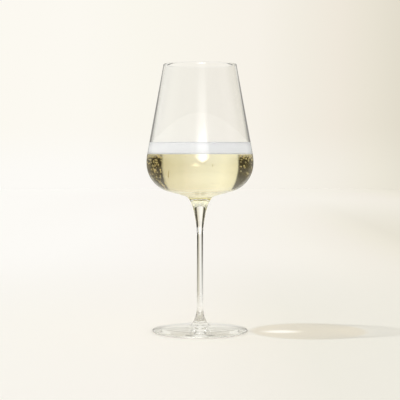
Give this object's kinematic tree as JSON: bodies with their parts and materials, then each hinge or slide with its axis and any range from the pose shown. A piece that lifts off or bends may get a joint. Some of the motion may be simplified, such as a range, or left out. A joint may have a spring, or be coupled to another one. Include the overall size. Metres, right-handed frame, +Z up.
{
  "type": "wine glass",
  "caption": "Stemmed white-wine glass with a slender drawn stem and a wide thin foot, filled to the belly with pale sparkling wine under a collar of froth.",
  "frame": {"origin": "on the table, at the middle of the foot's underside", "axes": "+Z up along the glass's axis, from the foot to the rim; +X and +Y are any two directions across it"},
  "size_m": [0.0892, 0.0892, 0.223],
  "materials": {
    "clear_glass": "polished",
    "white_wine": "polished",
    "froth": "matte"
  },
  "bodies": {
    "glass": {"bowl": "clear_glass", "stem": "clear_glass", "foot": "clear_glass"},
    "contents": {"wine": "white_wine", "froth": "froth"}
  },
  "joints": [
    {"name": "wine_swirl", "type": "hinge", "parent": "glass", "child": "contents", "pos_m": [0, 0, 0.141], "axis": [0, 0, 1], "continuous": true}
  ]
}
